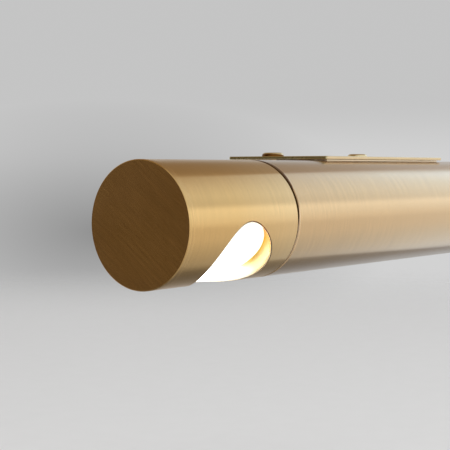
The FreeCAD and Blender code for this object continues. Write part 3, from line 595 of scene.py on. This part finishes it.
def lit_opal():
    """Opal lens lit from behind, brightest over its chip and low down, its upper rim warmer and dimmer as
    painted shade.
    """
    material, shading, shader = new_material("opal_lens")
    place = shading.from_tube()
    along = shading.sum("SUBTRACT", shading.sum("ABSOLUTE", shading.split(place)[0]), LENS_PLACE)
    across = shading.dot(place, tuple(ACROSS_LIGHT))
    reach = shading.length(shading.join(along, across, 0.0))
    inside = shading.spread(reach, *RIM_REACH)
    inside = shading.sum("MAXIMUM", inside, shading.spread(across, *RIM_ACROSS))
    core = shading.spread(reach, *CORE_REACH, 0.0, CORE_LEVEL)
    low_side = shading.spread(across, *LOW_ACROSS, 0.0, LOW_LEVEL)
    grain = shading.noise(shading.place(), OPAL_GRAINS)
    level = shading.spread(inside, 0.0, 1.0, *RIM_LEVELS)
    for more in (core, low_side, shading.spread(grain, *MOST_NOISE, *OPAL_LEVELS)):
        level = shading.sum("ADD", level, more)
    shading.feed(shader, {
        "Base Color": shading.mix(inside, LENS_RIM_SHADE, shading.mix(grain, *OPAL_TINTS)),
        "Roughness": shading.spread(grain, *MOST_NOISE, *OPAL_ROUGHNESS),
        "Normal": shading.bump(OPAL_STRENGTH, OPAL_BUMP, grain),
        "Emission Color": shading.mix(inside, RIM_GLOW, CORE_GLOW),
        "Emission Strength": level,
    })
    return material


# Dots of the light chip's phosphor
DOTS_PER_METRE = 700
DOT_ROUGHNESS = (0.5, 0.35)
DOT_STRENGTH = 0.3
DOT_BUMP = 0.05 * MM
CHIP_LEVEL = 2.0


def lit_phosphor():
    """Yellow phosphor of the light chip, with its faint dots."""
    material, shading, shader = new_material("light_chip")
    pattern = {"Vector": shading.place(), "Scale": DOTS_PER_METRE}
    dots = shading.add("TexVoronoi", pattern).outputs["Distance"]
    skin = shading.mix(shading.spread(dots, *DOT_NOISE), *PHOSPHOR_TINTS)
    shading.feed(shader, {
        "Base Color": skin,
        "Roughness": shading.spread(dots, *DOT_NOISE, *DOT_ROUGHNESS),
        "Normal": shading.bump(DOT_STRENGTH, DOT_BUMP, dots),
        "Emission Color": skin,
        "Emission Strength": CHIP_LEVEL,
    })
    return material


# Spangle and tarnish of zinc
CELLS_PER_METRE = 1400
EQUAL_SHARES = (0.33, 0.33, 0.33)
TARNISH_PER_METRE = 60
TARNISH_NOISE = (0.45, 0.8)
TARNISH_SHARE = 0.3
SPANGLE_ROUGHNESS = (0.32, 0.48)
SPANGLE_STRENGTH = 0.25
SPANGLE_BUMP = 0.01 * MM


def zinc_metal():
    """Zinc plated steel with a fine spangle and a cool tint."""
    material, shading, shader = new_material("zinc_steel")
    pattern = {"Vector": shading.place(), "Scale": CELLS_PER_METRE}
    spangle = shading.dot(shading.add("TexVoronoi", pattern).outputs["Color"], EQUAL_SHARES)
    cloud = shading.noise(shading.place(), TARNISH_PER_METRE, FINEST_DETAIL)
    rounded, edge = worn_edges(shading)
    skin = shading.mix(spangle, *ZINC_TINTS)
    skin = shading.mix(shading.spread(cloud, *TARNISH_NOISE, 0.0, TARNISH_SHARE), skin, ZINC_TARNISH)
    shading.feed(shader, {
        "Base Color": shading.mix(edge, skin, ZINC_EDGE),
        "Metallic": 1.0,
        "Roughness": shading.spread(spangle, *SPANGLE_NOISE, *SPANGLE_ROUGHNESS),
        "Normal": shading.bump(SPANGLE_STRENGTH, SPANGLE_BUMP, spangle, rounded),
    })
    return material


# Pebbled skin of plastic and rubber
MOULD_CLOUDS = 90
MOULD_TONES = (0.94, 1.04)
MOULD_EDGE = 1.15
MOULD_STRENGTH = 0.4
MOULD_SMOOTHER = 0.05
MOULD_ROUGHER = 0.06
SOFT_REACH = 2 * MM


def moulded(name, base, roughness, per_metre=1500, depth=0.02 * MM, sheen=0.0, soft=0.0):
    """Moulded plastic, rubber or nylon with a fine pebbled skin."""
    material, shading, shader = new_material(name)
    pebbles = shading.noise(shading.place(), per_metre)
    cloud = shading.noise(shading.place(), MOULD_CLOUDS, FINE_DETAIL)
    rounded, edge = worn_edges(shading)
    skin = shading.mix(cloud, *(scaled(base, factor) for factor in MOULD_TONES))
    rough = shading.spread(pebbles, *MOST_NOISE, roughness - MOULD_SMOOTHER, roughness + MOULD_ROUGHER)
    shading.feed(shader, {
        "Base Color": shading.mix(edge, skin, scaled(base, MOULD_EDGE)),
        "Roughness": rough,
        "Normal": shading.bump(MOULD_STRENGTH, depth, pebbles, rounded),
        "Sheen Weight": sheen,
        "Subsurface Weight": soft,
        "Subsurface Scale": SOFT_REACH,
    })
    return material


# A finish for each of the record's material slots
SLOT_FINISHES = {
    "brushed_brass": plate_brass(),
    "polished_brass": screw_brass(),
    "zinc_steel": zinc_metal(),
    "aluminium": brushed_metal("machined_aluminium", ALUMINIUM, up_and_down, roughness=0.30),
    "opal_lens": lit_opal(),
    "white_reflector": moulded("white_reflector", colour(0.94, 0.94, 0.93), 0.35),
    "white_board": moulded("white_board", colour(0.93, 0.93, 0.91), 0.30, per_metre=4000, depth=0.005 * MM),
    "light_chip": lit_phosphor(),
    "driver_case": moulded("driver_case", colour(0.88, 0.88, 0.87), 0.42),
    "terminal_plastic": moulded("terminal_plastic", colour(0.90, 0.89, 0.85), 0.40, soft=0.1),
    "black_nylon": moulded("black_nylon", colour(0.05, 0.05, 0.05), 0.45),
    "black_rubber": moulded("black_rubber", colour(0.04, 0.04, 0.04), 0.60, depth=0.04 * MM, sheen=0.2),
    "lead_sheath": moulded("lead_sheath", colour(0.90, 0.90, 0.88), 0.45, soft=0.1),
}
# Nodes whose finish differs from their slot's
NODE_FINISHES = {
    "main_tube": tube_brass(),
    "back_cover": brushed_metal("cover_brass", PLATE_BRASS, along_tube, roughness=0.30),
    "plate_strip": strip_brass(),
}
WELL_FINISH = well_brass()
# The gap's painted shade, worn also by the plug and hub inside it
GAP_SHADE_FINISH = gap_shade_metal()
# The same for nodes that come once on each side
PAIR_FINISHES = {
    "tube_plug": GAP_SHADE_FINISH,
    "end_hub": GAP_SHADE_FINISH,
    "end_shell": end_shell_brass(),
    "end_disc": disc_brass(),
    "light_well": WELL_FINISH,
}


def dress_nodes():
    """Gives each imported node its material."""
    slots = {part["node"]: part["material_slot"] for part in frame["record"]["subparts"]}
    finishes = {name: SLOT_FINISHES[slot] for name, slot in slots.items()}
    finishes.update(NODE_FINISHES)
    for side in SIDES:
        finishes.update({f"{name}_{side}": finish for name, finish in PAIR_FINISHES.items()})
    for name, node in frame["nodes"].items():
        for slot in node.material_slots:
            slot.material = finishes[name]


# What the room throws back, by its angle round the tube's axis: nought at the front, up at a quarter turn.
# Each row has that angle, then a level and a coolness for rays that go partly along the tube, and then both
# for rays that go mostly along it.
ROOM_BANDS = [
    (-180, 0.56, 0.0, 0.60, 0.0),
    (-162, 0.50, 0.0, 0.56, 0.0),
    (-150, 0.42, 0.0, 0.50, 0.0),
    (-110, 0.34, 0.1, 0.86, 0.3),
    (-88, 0.33, 0.1, 0.88, 0.3),
    (-66, 0.40, 0.0, 0.84, 0.3),
    (-45, 0.52, 0.0, 0.82, 0.2),
    (-28, 0.66, 0.0, 0.84, 0.1),
    (-10, 0.69, 0.0, 0.86, 0.1),
    (0, 0.88, 0.1, 0.92, 0.1),
    (12, 0.96, 0.2, 1.00, 0.2),
    (24, 1.00, 0.2, 1.16, 0.25),
    (33, 0.66, 0.2, 0.96, 0.3),
    (50, 0.72, 0.2, 1.00, 0.4),
    (66, 0.62, 0.1, 1.02, 0.5),
    (84, 0.49, -0.1, 1.10, 0.6),
    (94, 0.45, -0.2, 1.20, 0.7),
    (112, 0.45, -0.2, 1.20, 0.7),
    (150, 0.42, 0.0, 0.66, 0.0),
    (160, 0.50, 0.0, 0.62, 0.0),
    (180, 0.56, 0.0, 0.60, 0.0),
]
# How much of a tint's coolness its green takes
GREEN_SHARE = 0.45
# How far along the tube a ray goes, from partly to mostly
MOSTLY_ALONG = (0.78, 0.91)

# The dark bands above and below: the angle of each one's edge for rays partly and mostly along the tube,
# the two shares between which it slants, the angle where it starts to fade, and its two tints
UPPER_BAND = (94, 105, 0.78, 0.85, 136, (0.28, -0.45), (0.58, 0.0))
LOWER_BAND = (-88, -109, 0.84, 0.89, 112, (0.15, 0.0), (0.34, 0.0))
BAND_SOFTNESS = (math.radians(-2), math.radians(3))
BAND_END = 152

# The wall side is a plain backdrop, a little darker above, with the lamp's soft shade on it
BACKDROP = colour(0.645, 0.645, 0.645)
BACKDROP_TOP = colour(0.555, 0.555, 0.555)
BACKDROP_RISE = (0.0, 0.06)
BACKDROP_ANGLES = (math.radians(152), math.radians(163))
SHADE_PLACE = (0.722, 0.690, -0.055)
SHADE_STRETCH = (1.0, 1.0, 2.2)
SHADE_REACH = (0.0, 0.25)
SHADE_LEVELS = (0.43, 1.0)

# Straight along the axis to the left the room is plain too, and the corner that the left end faces is dark
POLE = (-0.88, -0.96)
DARK_CORNER = Vector((-0.79, 0.61, -0.05))
CORNER_REACH = (0.905, 0.955)
CORNER_BROWN = colour(0.106, 0.075, 0.044)


def tinted(level, coolness):
    """Gives a grey level with a cool or, below nought, a warm tint."""
    return colour(level, level * (1 + GREEN_SHARE * coolness), level * (1 + coolness))


def banded_room(shading, along, angle):
    """Gives the room that the brass shows, without its dark bands."""
    partly = []
    mostly = []
    for degrees, level, coolness, far_level, far_coolness in ROOM_BANDS:
        turned = 0.5 + degrees / 360
        partly.append((turned, tinted(level, coolness)))
        mostly.append((turned, tinted(far_level, far_coolness)))
    turned = shading.spread(angle, -math.pi, math.pi)
    share = shading.spread(along, *MOSTLY_ALONG)
    return shading.mix(share, shading.ramp(turned, partly), shading.ramp(turned, mostly))


def darkened_room(shading, along, angle, room, band):
    """Lays one dark band over the room."""
    near_edge, far_edge, first, last, fade_start, near_tint, far_tint = band
    edge = shading.spread(along, first, last, math.radians(near_edge), math.radians(far_edge))
    turned = shading.sum("ABSOLUTE", angle)
    past_edge = shading.sum("SUBTRACT", turned, shading.sum("ABSOLUTE", edge))
    same_side = shading.sum("GREATER_THAN", shading.sum("MULTIPLY", angle, math.radians(near_edge)), 0.0)
    fading = shading.spread(turned, math.radians(fade_start), math.radians(BAND_END), 1.0, 0.0)
    share = shading.sum("MULTIPLY", shading.spread(past_edge, *BAND_SOFTNESS), fading)
    share = shading.sum("MULTIPLY", share, same_side)
    dark = shading.mix(shading.spread(along, *MOSTLY_ALONG), tinted(*near_tint), tinted(*far_tint))
    return shading.mix(share, room, dark)


def shaded_backdrop(shading, toward, height):
    """Gives the plain backdrop with the lamp's soft shade."""
    rise = shading.spread(height, *BACKDROP_RISE, kind="SMOOTHSTEP")
    away = shading.vector_sum("SUBTRACT", toward, SHADE_PLACE)
    away = shading.vector_sum("MULTIPLY", away, SHADE_STRETCH)
    shade = shading.spread(shading.length(away), *SHADE_REACH, *SHADE_LEVELS)
    return shading.mix(shade, BLACK, shading.mix(rise, BACKDROP, BACKDROP_TOP))


def add_world():
    """Makes the pale room that lights the object and shows in the brass, before a plain backdrop."""
    world = bpy.data.worlds.new("studio")
    world.use_nodes = True
    bpy.context.scene.world = world
    shading = Shading(world.node_tree)
    toward = shading.add("TexCoord").outputs["Generated"]
    along, inward, height = shading.split(toward)
    angle = shading.sum("ARCTAN2", height, shading.sum("MULTIPLY", inward, -1.0))
    room = banded_room(shading, along, angle)
    for band in (UPPER_BAND, LOWER_BAND):
        room = darkened_room(shading, along, angle, room, band)
    backdrop = shaded_backdrop(shading, toward, height)
    room = shading.mix(shading.spread(shading.sum("ABSOLUTE", angle), *BACKDROP_ANGLES), room, backdrop)
    room = shading.mix(shading.spread(along, *POLE, kind="SMOOTHSTEP"), room, BACKDROP)
    corner = shading.dot(toward, tuple(DARK_CORNER.normalized()))
    room = shading.mix(shading.spread(corner, *CORNER_REACH, kind="SMOOTHSTEP"), room, CORNER_BROWN)
    # The background itself is the plain backdrop from every side
    room = shading.mix(shading.add("LightPath").outputs["Is Camera Ray"], room, backdrop)
    shading.feed(world.node_tree.nodes["Background"], {"Color": room})


# Soft square lamps: the place, size and power of each
LAMPS = {
    "key": ((-1.8, -3.2, 3.4), 2.8, 150),
    "fill": ((2.8, -3.6, 1.2), 3.2, 56),
}


def add_lamps():
    """Adds the lamps, which point at the tube and don't show in the brass."""
    for name, (place, size, power) in LAMPS.items():
        data = bpy.data.lights.new(name, "AREA")
        data.size = size
        data.energy = power
        lamp = bpy.data.objects.new(name, data)
        lamp.location = place
        lamp.rotation_mode = "QUATERNION"
        lamp.rotation_quaternion = (TUBE_MIDDLE - Vector(place)).to_track_quat("-Z", "Y")
        lamp.visible_glossy = False
        bpy.context.scene.collection.objects.link(lamp)


# The floor, far below the light, which is solid out to the first reach of its fade
FLOOR_DROP = 0.25
FLOOR_STEPS = 96
FLOOR_RADIUS = 2.7
FLOOR_FADE = (1.4, 2.619)
FLOOR_GRAINS = 40
FLOOR_ROUGHNESS = (0.85, 0.95)


def add_floor():
    """Adds a pale round floor that keeps the object's shadow and fades into the backdrop."""
    mesh = bpy.data.meshes.new("floor")
    shape = bmesh.new()
    bmesh.ops.create_circle(shape, cap_ends=True, segments=FLOOR_STEPS, radius=FLOOR_RADIUS)
    shape.to_mesh(mesh)
    shape.free()
    floor = bpy.data.objects.new("floor", mesh)
    floor.location = (0, 0, -FLOOR_DROP)
    bpy.context.scene.collection.objects.link(floor)
    material, shading, shader = new_material("floor")
    grain = shading.noise(shading.place(), FLOOR_GRAINS, FINE_DETAIL)
    shading.feed(shader, {
        "Base Color": shading.mix(grain, *FLOOR_TINTS),
        "Roughness": shading.spread(grain, *MOST_NOISE, *FLOOR_ROUGHNESS),
        "Alpha": shading.spread(shading.length(shading.place()), *FLOOR_FADE, 1.0, 0.0, kind="SMOOTHSTEP"),
    })
    mesh.materials.append(material)
    floor.visible_glossy = False


# Pieces that only the scene has
def turns(steps):
    """Gives the angles of one full turn in even steps."""
    return [2 * math.pi * step / steps for step in range(steps)]


def skin_rings(shape, rings):
    """Joins rings of points one after another."""
    for first, second in zip(rings, rings[1:]):
        for step in range(len(first)):
            after = (step + 1) % len(first)
            shape.faces.new((first[step], first[after], second[after], second[step]))


def finish_piece(shape, name, material, body):
    """Turns a built shape into a smooth object that rides on a body."""
    bmesh.ops.recalc_face_normals(shape, faces=shape.faces)
    for face in shape.faces:
        face.smooth = True
    mesh = bpy.data.meshes.new(name)
    shape.to_mesh(mesh)
    shape.free()
    mesh.materials.append(material)
    piece = bpy.data.objects.new(name, mesh)
    bpy.context.scene.collection.objects.link(piece)
    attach(piece, body)
    return piece


# The plate screws' heads, sockets and shanks. A ring just under each head keeps the corner there crisp.
SCREW_STEPS = 96
HEAD_RADIUS = 5.4 * MM
HEAD_HEIGHT = 2.0 * MM
HEAD_ROUNDING = 1.6 * MM
HEAD_UNDERCUT = 0.45 * MM
SOCKET_WIDTH = 3.0 * MM
SOCKET_DEPTH = 1.2 * MM
SOCKET_BEVEL = 0.1 * MM
COLLAR_RADIUS = 2.25 * MM
SHANK_RADIUS = 2.5 * MM
SHANK_TIP_RADIUS = 2.0 * MM
SHANK_TIP = 0.4 * MM
UNDERCUT_STEPS = 5
ROUNDING_STEPS = 12
CREASE = 0.05 * MM
SCREW_PLACE = SCREWS_HIGH[0] - HEAD_RADIUS


def circle(radius):
    """Gives a circle's reach at any turn."""
    return lambda turn: radius


def hexagon(width):
    """Gives a hexagon's reach at any turn, from its width across the flats."""
    def reach(turn):
        off_flat = (turn + math.pi / 6) % (math.pi / 3) - math.pi / 6
        return width / 2 / math.cos(off_flat)
    return reach


def screw_profile(foot):
    """Gives a reach and a height for each ring of a screw, from its foot to the bottom of its socket."""
    profile = [
        (circle(SHANK_TIP_RADIUS), foot),
        (circle(SHANK_RADIUS), foot + SHANK_TIP),
        (circle(SHANK_RADIUS), -CREASE),
        (circle(SHANK_RADIUS), 0),
    ]
    for step in range(UNDERCUT_STEPS):
        bend = math.pi / 2 * step / UNDERCUT_STEPS
        radius = HEAD_RADIUS - HEAD_UNDERCUT * (1 - math.sin(bend))
        profile.append((circle(radius), (HEAD_HEIGHT - HEAD_ROUNDING) * (1 - math.cos(bend))))
    for step in range(ROUNDING_STEPS + 1):
        bend = math.pi / 2 * step / ROUNDING_STEPS
        radius = HEAD_RADIUS - HEAD_ROUNDING * (1 - math.cos(bend))
        profile.append((circle(radius), HEAD_HEIGHT - HEAD_ROUNDING * (1 - math.sin(bend))))
    profile += [
        (circle(COLLAR_RADIUS), HEAD_HEIGHT),
        (hexagon(SOCKET_WIDTH + 2 * SOCKET_BEVEL), HEAD_HEIGHT),
        (hexagon(SOCKET_WIDTH), HEAD_HEIGHT - SOCKET_BEVEL),
        (hexagon(SOCKET_WIDTH), HEAD_HEIGHT - SOCKET_DEPTH),
    ]
    return profile


def add_plate_screws():
    """Adds the low screw heads with rounded rims and hex sockets, on their shanks."""
    seat = SCREWS_HIGH[2] - HEAD_HEIGHT
    finish = SLOT_FINISHES["polished_brass"]
    pieces = []
    for side, sign in SIDES.items():
        centre = Vector((sign * SCREW_PLACE, (SCREWS_LOW[1] + SCREWS_HIGH[1]) / 2, seat))
        shape = bmesh.new()
        rings = []
        for reach, height in screw_profile(SCREWS_LOW[2] - seat):
            ring = []
            for turn in turns(SCREW_STEPS):
                place = Vector((reach(turn) * math.cos(turn), reach(turn) * math.sin(turn), height))
                ring.append(shape.verts.new(centre + place))
            rings.append(ring)
        skin_rings(shape, rings)
        shape.faces.new(rings[0])
        shape.faces.new(rings[-1])
        pieces.append(finish_piece(shape, "plate_screw_" + side, finish, "fixture"))
    for piece in pieces:
        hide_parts("plate_screws")


# The wells' lining, just off the lens, with a bevelled lip just under the tube's skin
LINER_STEPS = 144
LINER_THICKNESS = 0.15 * MM
LINER_PLAY = 0.02 * MM
LINER_LIFT = 0.05 * MM
LENS_CURVE = 45 * MM
LENS_RECESS = 6.5 * MM
LINER_FOOT = TUBE_RADIUS - LENS_RECESS + LINER_LIFT
LIP_BEVEL = 0.04 * MM
LIP_SINK = 0.04 * MM
WALL_SINK = 0.12 * MM


def on_lens(across):
    """Gives how far out along the light the lining starts, just over the domed lens."""
    return math.sqrt(LENS_CURVE ** 2 - across ** 2) - LENS_CURVE + LINER_FOOT


def under_tube(sink):
    """Gives a function that tells how far out along the light a place lies, sunk under the tube's skin."""
    return lambda across: math.sqrt(TUBE_RADIUS ** 2 - across ** 2) - sink


def add_liner(side, sign):
    """Adds a thin bright sleeve that covers the joint between the light well and the hole in the shell."""
    outer = LENS_RADIUS - LINER_PLAY
    inner = outer - LINER_THICKNESS
    profile = [
        (outer, on_lens),
        (outer, under_tube(WALL_SINK)),
        (outer - LIP_BEVEL, under_tube(LIP_SINK)),
        (inner + LIP_BEVEL, under_tube(LIP_SINK)),
        (inner, under_tube(WALL_SINK)),
        (inner, on_lens),
    ]
    shape = bmesh.new()
    rings = []
    for radius, out_at in profile:
        ring = []
        for turn in turns(LINER_STEPS):
            across = radius * math.sin(turn)
            place = TUBE_MIDDLE + ALONG_LIGHT * out_at(across) + ACROSS_LIGHT * across
            ring.append(shape.verts.new((sign * LENS_PLACE + radius * math.cos(turn), place.y, place.z)))
        rings.append(ring)
    skin_rings(shape, rings + rings[:1])
    finish_piece(shape, "well_liner_" + side, WELL_FINISH, "head_" + side)


add_camera()
dress_nodes()
add_world()
add_lamps()
add_floor()
for side, sign in SIDES.items():
    add_liner(side, sign)
add_plate_screws()
bpy.context.scene.view_settings.view_transform = "Standard"
